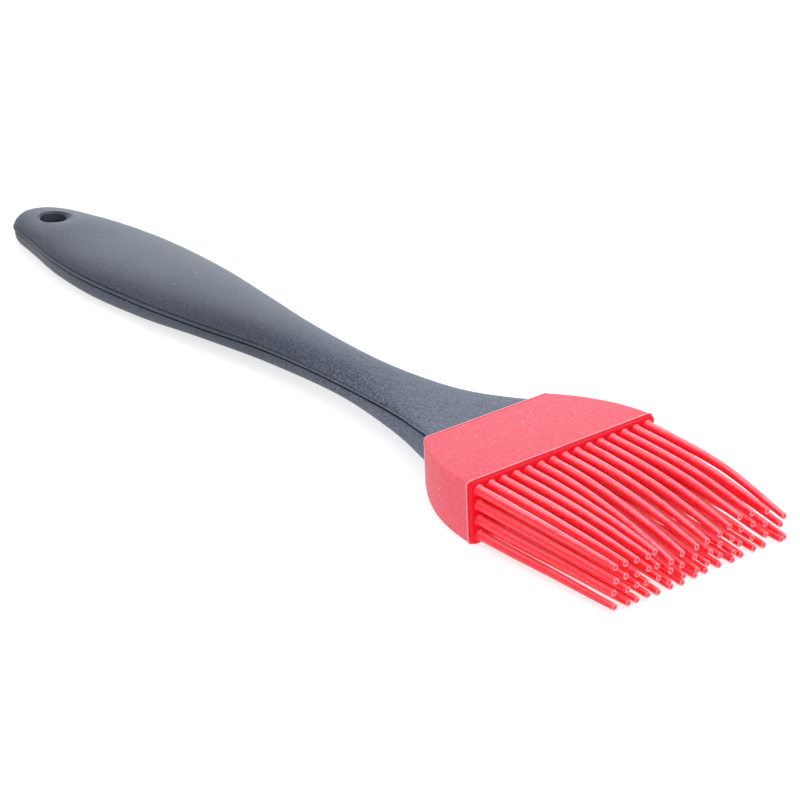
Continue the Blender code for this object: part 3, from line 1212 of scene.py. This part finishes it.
@dataclass
class Head:
    """The silicone sleeve with thin flash round both ends, and the base the bristles grow from."""

    sections: int = 30
    sleeve_edge: float = 0.06
    flash_stand: float = 0.09 * MM
    flash_width: float = 0.20 * MM
    pocket_ease: float = 0.15 * MM
    recess_ease: float = 0.1 * MM
    hollow_edge: float = 0.4 * MM
    base_edge: float = 0.07
    base_inset: float = 0.22 * MM
    base_rim: float = 0.3 * MM
    sleeve: SlicedNode = field(default_factory=lambda: SlicedNode("head_sleeve"))

    def build_sleeve(self) -> bpy.types.Object:
        """Model the sleeve with a proud rim of flash at each end.

        Returns:
            The sleeve, still solid.
        """
        low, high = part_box("head_sleeve")
        stand, rim = self.flash_stand, self.flash_width
        run = (high.x - low.x) / self.sections
        places = [low.x + run * i for i in range(self.sections)] + [high.x]
        edges = (Rounding(level, self.sleeve_edge, 4) for level in (0.0, 1.0))
        sleeve = profile_block("silicone_sleeve", 1.4, *edges)
        draw_out(sleeve, [section.eased(-stand) for section in self.sleeve.through(places)])
        for side, end in ((1, high.x), (-1, low.x)):

            def closes(centre: Vector, normal: Vector, side: int = side, end: float = end) -> bool:
                """Whether a face closes this end."""
                return normal.x * side > SQUARE_ON and abs(centre.x - end) < TOUCH

            pick(sleeve, Pick.FACES, closes)
            bpy.ops.transform.translate(value=(-side * rim, 0, 0))
            extrude(0, 0, 0)
            size = self.sleeve.at(end)
            grow = (1, 1 + stand / size.half_width, 1 + 2 * stand / size.height)
            resize(grow, (end, 0, (low.z + high.z) / 2))
            extrude(side * rim, 0, 0)
        return sleeve

    def hollow(self, sleeve: bpy.types.Object) -> None:
        """Cut the pocket for the tang's blade and the recess for the base's plug.

        Args:
            sleeve: The sleeve.
        """
        low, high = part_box("head_sleeve")
        ease = Vector((self.pocket_ease,) * 3)
        blade_low, blade_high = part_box("tang")[0] - ease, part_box("tang")[1] + ease
        plug_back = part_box("bristle_base")[0].x
        plug = SlicedNode("bristle_base").at(plug_back + PROBE).eased(self.recess_ease)
        pocket = add_block("blade_pocket", (low.x - OVERCUT, *blade_low.yz), blade_high)
        recess = add_block(
            "plug_recess",
            (plug_back - self.recess_ease, -plug.half_width, plug.low),
            (high.x + OVERCUT, plug.half_width, plug.high),
        )
        for cutter in (pocket, recess):
            round_edges(cutter, self.hollow_edge, 2)
            cut_away(sleeve, cutter)
            throw_away(cutter)

    def build_base(self) -> bpy.types.Object:
        """Model the base: a plug behind a slab with rounded edges.

        Returns:
            The base.
        """
        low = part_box("bristle_base")[0]
        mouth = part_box("head_sleeve")[1].x
        back, front = mouth + SEAT, mouth + BASE_THICKNESS
        plug = SlicedNode("bristle_base").at(low.x + PROBE)
        slab = self.sleeve.at(mouth).eased(-self.base_inset)
        edges = (Rounding(level, self.base_edge, 4) for level in (0.0, 1.0))
        base = profile_block("bristle_root_block", 1.7, *edges)
        draw_out(base, [slab.moved(back), slab.moved(front)])
        pick(base, Pick.FACES, facing(0, -1))
        bpy.ops.mesh.inset(thickness=5 * LEDGE, depth=0)
        narrow = (1, plug.half_width / slab.half_width, plug.height / slab.height)
        resize(narrow, (back, 0, plug.middle))
        extrude(low.x - back, 0, 0)
        object_mode()

        def front_rim(a: Vector, b: Vector) -> bool:
            """Whether an edge runs round the base's front."""
            return abs(a.x - front) < TOUCH and abs(b.x - front) < TOUCH

        pick(base, Pick.EDGES, front_rim)
        bpy.ops.mesh.bevel(offset=self.base_rim, segments=3, affect="EDGES")
        return base

    def build(self) -> list[bpy.types.Object]:
        """Model, cut and dress the sleeve and the base.

        Returns:
            The sleeve and the base.
        """
        low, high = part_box("head_sleeve")
        rim = self.flash_width * 1.05

        def on_flash(face: bpy.types.MeshPolygon) -> bool:
            """Whether a face is on the outside of the flash."""
            at_end = face.center.x > high.x - rim or face.center.x < low.x + rim
            return at_end and abs(face.normal.x) < SQUARE_ON

        sleeve = self.build_sleeve()
        dress(sleeve, SLEEVE_SILICONE, FLASH_HIGHLIGHT_SILICONE)
        # The flash's faces take the paler silicone, a painted highlight along both rims.
        paint(sleeve, 1, on_flash)
        self.hollow(sleeve)
        shade_smooth(sleeve)
        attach(sleeve, "head")
        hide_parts("head_sleeve")
        base = self.build_base()
        shade_smooth(base)
        dress(base, SHADED_BASE_SILICONE)
        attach(base, "head")
        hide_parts("bristle_base")
        return [sleeve, base]


@dataclass(frozen=True)
class Clump:
    """Neighbouring bristles that stay together, with the first and last tip's lean and sag."""

    count: int
    lean: Pair
    sag: Pair

    def tips(self) -> list[Pair]:
        """Spread the lean and the sag over the clump.

        Returns:
            Lean and sag of each bristle in turn.
        """
        pairs = []
        for i in range(self.count):
            share = i / max(self.count - 1, 1)
            lean = self.lean[0] + (self.lean[1] - self.lean[0]) * share
            pairs.append((lean, self.sag[0] + (self.sag[1] - self.sag[0]) * share))
        return pairs


@dataclass
class Bristles:
    """Four rows of tapered bristles that droop, lean together in clumps and end in flat cuts."""

    clumps: tuple[Clump, ...] = (
        Clump(5, lean=(1.2 * MM, -0.5 * MM), sag=(1.5 * MM, 2.0 * MM)),
        Clump(6, lean=(-0.3 * MM, 0.0 * MM), sag=(4.6 * MM, 3.4 * MM)),
        Clump(3, lean=(-0.6 * MM, -0.2 * MM), sag=(2.1 * MM, 3.0 * MM)),
        Clump(1, lean=(0.8 * MM, 0.8 * MM), sag=(5.2 * MM, 5.2 * MM)),
    )
    row_sags: tuple[float, ...] = (1.0, 0.8, 0.65, 0.43)
    root_inset: float = 0.95 * MM
    sides: int = 14
    stretches: int = 20
    root_radius: float = 0.85 * MM
    tip_radius: float = 0.56 * MM
    taper_power: float = 1.7
    collar: float = 0.22 * MM
    collar_fade: float = 0.28 * MM
    collar_runs: tuple[float, ...] = (0.0, 0.12 * MM, 0.3 * MM, 0.6 * MM, 1.1 * MM)
    cut_edge: float = 0.05 * MM
    cut_ring: float = 0.13 * MM
    cut_sink: float = 0.06 * MM
    cut_shrink: float = 0.9
    cut_facing: float = 0.25
    cuts_within: float = 5 * MM
    length_spread: float = 0.7 * MM
    far_side_shorter: float = 0.6 * MM
    wander: float = 0.30 * MM
    lower_wander: float = 1.4
    sag_wander: float = 0.6
    table_gap: float = 0.03 * MM
    bow_place: float = 0.55
    bow_reach: float = 13.0 * MM
    bow_depth: float = 0.22 * MM
    bow_rise: float = 0.8
    bow_hold: float = 0.9 * MM
    tip_hold: float = 0.3 * MM
    blend_share: float = 0.75
    seed: int = 7

    def radius_at(self, run: float, length: float) -> float:
        """Radius of a bristle, with the fillet where it leaves the base.

        Args:
            run: Distance from the root.
            length: The bristle's length.

        Returns:
            The radius there.
        """
        share = (run / length) ** self.taper_power
        taper = self.root_radius + (self.tip_radius - self.root_radius) * share
        return taper + self.collar * math.exp(-run / self.collar_fade)

    def model_one(self, root: Vector, length: float) -> bpy.types.Object:
        """Model one straight bristle with its root at a point.

        Args:
            root: The middle of its root.
            length: How far it reaches along X.

        Returns:
            The bristle.
        """
        select_nothing()
        bpy.ops.mesh.primitive_circle_add(
            vertices=self.sides,
            radius=self.radius_at(0, length),
            fill_type="NGON",
            location=root,
            rotation=(0, math.pi / 2, 0),
        )
        bristle = named("bristle")
        begin = self.collar_runs[-1]
        step = (length - begin - self.cut_edge) / self.stretches
        runs = [*self.collar_runs, *(begin + step * i for i in range(1, self.stretches + 1))]
        pick(bristle, Pick.FACES, anywhere)
        for before, after in zip(runs, runs[1:]):
            extrude(after - before, 0, 0)
            grow = self.radius_at(after, length) / self.radius_at(before, length)
            resize((1, grow, grow), (root.x + after, root.y, root.z))
        extrude(self.cut_edge, 0, 0)
        resize((1, self.cut_shrink, self.cut_shrink), (root.x + length, root.y, root.z))
        bpy.ops.mesh.inset(thickness=self.cut_ring, depth=0)
        bpy.ops.mesh.inset(thickness=self.cut_edge, depth=-self.cut_sink)
        face_outwards()
        return bristle

    def pull(self, bristle: bpy.types.Object, wanted: Test, shift: Vector, **reach: object) -> None:
        """Move part of a bristle, so that the move fades out along the rest.

        Args:
            bristle: The bristle.
            wanted: A test of the vertices that move all the way.
            shift: How far they move.
            reach: How the move fades out: its falloff and its size.
        """
        pick(bristle, Pick.VERTICES, wanted)
        bpy.ops.transform.translate(
            value=shift, use_proportional_edit=True, use_proportional_connected=True, **reach
        )
        object_mode()

    def bow(self, bristle: bpy.types.Object, middle: float, shift: Vector) -> None:
        """Bow a bristle by moving its middle, so that the move fades out towards both ends.

        Args:
            bristle: The bristle.
            middle: Where its middle lies on X.
            shift: How far it moves.
        """
        fade = {"proportional_edit_falloff": "SMOOTH", "proportional_size": self.bow_reach}
        self.pull(bristle, lambda place, _: abs(place.x - middle) < self.bow_hold, shift, **fade)

    def bend(self, bristle: bpy.types.Object, length: float, shift: Vector) -> None:
        """Bend a bristle by moving its tip, so that the move fades out smoothly to the root.

        Args:
            bristle: The bristle.
            length: Its length.
            shift: How far its tip moves.
        """
        tip = max(v.co.x for v in bristle.data.vertices)
        fade = {"proportional_edit_falloff": "SHARP", "proportional_size": length}
        self.pull(bristle, lambda place, _: place.x > tip - self.tip_hold, shift, **fade)

    def build_row(self, row: int, dice: random.Random) -> bpy.types.Object:
        """Model one row over its CAD node and dress it.

        Args:
            row: The row, 1 on top.
            dice: Where small differences between bristles come from.

        Returns:
            The row, joined into one object.
        """
        node = f"bristle_row_{row}"
        low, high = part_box(node)
        joint = next(j for j in frame["joints"] if j["child"] == f"row_{row}")
        axis = Vector(joint["pos_m"])
        root_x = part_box("head_sleeve")[1].x + BASE_THICKNESS + SEAT
        full = high.x - root_x
        tips = [tip for clump in self.clumps for tip in clump.tips()]
        last = len(tips) - 1
        pitch = (high.y - low.y - 2 * self.root_inset) / last
        wander = self.wander * (1 if row == 1 else self.lower_wander)
        lowest = CAD_BOX[0][2] + self.tip_radius + self.table_gap
        copies = []
        for column, (lean, sag) in enumerate(tips):
            root = Vector((root_x, low.y + self.root_inset + pitch * column, axis.z))
            length = full - self.far_side_shorter * column / last
            length -= dice.uniform(0, self.length_spread)
            bristle = self.model_one(root, length)
            sideways = lean + dice.uniform(-1, 1) * wander
            down = sag * self.row_sags[row - 1]
            down += dice.uniform(-self.sag_wander, self.sag_wander) * wander
            down = min(down, axis.z - lowest)
            depth = self.bow_depth * (0.5 + column / len(tips))
            bow = Vector((0, dice.uniform(-1, 1) * depth, dice.uniform(0.0, self.bow_rise) * depth))
            self.bow(bristle, root_x + self.bow_place * length, bow)
            self.bend(bristle, length, Vector((0, sideways, -down)))
            copies.append(bristle)
        select_only(*copies)
        bpy.ops.object.join()
        piece = copies[0]
        piece.name = f"bristles_{row}"
        piece.data.name = piece.name
        dress(piece, BRISTLE_SILICONE, TIP_SILICONE)
        cuts_from = high.x - self.cuts_within

        def on_cut(face: bpy.types.MeshPolygon) -> bool:
            """Whether a face is on the ring round a cut tip, and not the disc inside it."""
            at_tip = face.center.x > cuts_from and face.normal.x > self.cut_facing
            return at_tip and len(face.vertices) != self.sides

        paint(piece, 1, on_cut)
        shade_smooth(piece, 40)
        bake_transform(piece)
        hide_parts(node)
        return piece

    def build(self) -> list[bpy.types.Object]:
        """Model all four rows."""
        dice = random.Random(self.seed)
        return [self.build_row(row, dice) for row in range(1, 5)]


# ------------------------------------------------------------------------------
# Stage
# ------------------------------------------------------------------------------


@dataclass
class Stage:
    """A pale table lit softly from all round, with the camera low over the bristles' corner.

    A lamp is a name, a place, a size, a power and a colour.
    """

    azimuth: float = 53.845
    elevation: float = 24.802
    roll: float = -2.546
    distance: float = 0.5028
    aim_left: float = 27.1 * MM
    aim_up: float = 13.0 * MM
    lens: float = 135.1
    table_gap: float = 0.02 * MM
    table_colour: Colour = (0.44, 0.443, 0.45)
    table_light: float = 0.70
    room_colour: Colour = (0.92, 0.955, 1.0)
    room_light: float = 0.78
    lamps: tuple[tuple[str, Triple, float, float, Colour], ...] = (
        ("top_box", (0.20, 0.05, 0.80), 0.6, 2.6, (1.0, 0.98, 0.97)),
        ("back_box", (-0.95, 0.70, 0.28), 0.8, 4.9, (0.84, 0.92, 1.0)),
        ("front_box", (0.75, -0.35, 0.35), 0.5, 1.2, (1.0, 0.98, 0.97)),
    )

    def build_floor(self) -> None:
        """Lay a pale table under the brush, with a light of its own that keeps it nearly white."""
        select_nothing()
        bpy.ops.mesh.primitive_plane_add(size=6, location=(0, 0, CAD_BOX[0][2] - self.table_gap))
        floor = named("table")
        pale = bpy.data.materials.new("table_pale")
        pale.use_nodes = True
        sockets = pale.node_tree.nodes["Principled BSDF"].inputs
        sockets["Base Color"].default_value = (*self.table_colour, 1)
        sockets["Roughness"].default_value = 0.7
        sockets["Emission Color"].default_value = (1, 1, 1, 1)
        sockets["Emission Strength"].default_value = self.table_light
        floor.data.materials.append(pale)

    def build_light(self) -> None:
        """Set soft boxes over and behind the brush, and an even pale room."""
        world = bpy.data.worlds.new("pale_room")
        bpy.context.scene.world = world
        world.use_nodes = True
        room = world.node_tree.nodes["Background"]
        room.inputs["Color"].default_value = (*self.room_colour, 1)
        room.inputs["Strength"].default_value = self.room_light
        for name, place, size, power, colour in self.lamps:
            light = bpy.data.lights.new(name, "AREA")
            light.shape = "SQUARE"
            light.size = size
            light.energy = power
            light.color = colour
            lamp = bpy.data.objects.new(name, light)
            bpy.context.scene.collection.objects.link(lamp)
            lamp.location = place
            lamp.rotation_euler = (-Vector(place)).to_track_quat("-Z", "Y").to_euler()

    def build_camera(self) -> None:
        """Set a long lens that looks down at the head from the side of the bristles."""
        turn, rise, roll = (math.radians(a) for a in (self.azimuth, self.elevation, self.roll))
        level = math.cos(rise)
        back = Vector((math.sin(turn) * level, -math.cos(turn) * level, math.sin(rise)))
        right = Vector((math.cos(turn), math.sin(turn), 0))
        upright = Matrix((right, back.cross(right), back)).transposed()
        rolled = upright @ Matrix.Rotation(roll, 3, "Z")
        low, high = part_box("head_sleeve")
        mouth = Vector((high.x, 0, (low.z + high.z) / 2))
        place = mouth + rolled @ Vector((-self.aim_left, self.aim_up, self.distance))
        data = bpy.data.cameras.new("camera")
        data.lens = self.lens
        data.sensor_width = 36
        data.clip_start = 0.01
        camera = bpy.data.objects.new("camera", data)
        bpy.context.scene.collection.objects.link(camera)
        camera.matrix_world = Matrix.Translation(place) @ rolled.to_4x4()
        bpy.context.scene.camera = camera

    def build(self) -> None:
        """Set the whole stage."""
        self.build_camera()
        self.build_floor()
        self.build_light()
        view = bpy.context.scene.view_settings
        view.view_transform = "Standard"
        view.look = "None"
        view.exposure = 0.0


def main() -> None:
    """Build every sub-assembly over the frame, set the stage and note the model's size."""
    logging.basicConfig(level=logging.INFO, format="%(message)s")
    Groups.build()
    Stage().build()
    for assembly in (Handle(), Tang(), Head(), Bristles()):
        maker = type(assembly).__name__
        for piece in assembly.build():
            triangles = sum(len(face.vertices) - 2 for face in piece.data.polygons)
            size = " x ".join(f"{side / MM:.2f}" for side in piece.dimensions)
            log.info("%s: %s, %s mm, %d triangles", maker, piece.name, size, triangles)
    bpy.context.view_layer.update()


if __name__ == "__main__":
    main()
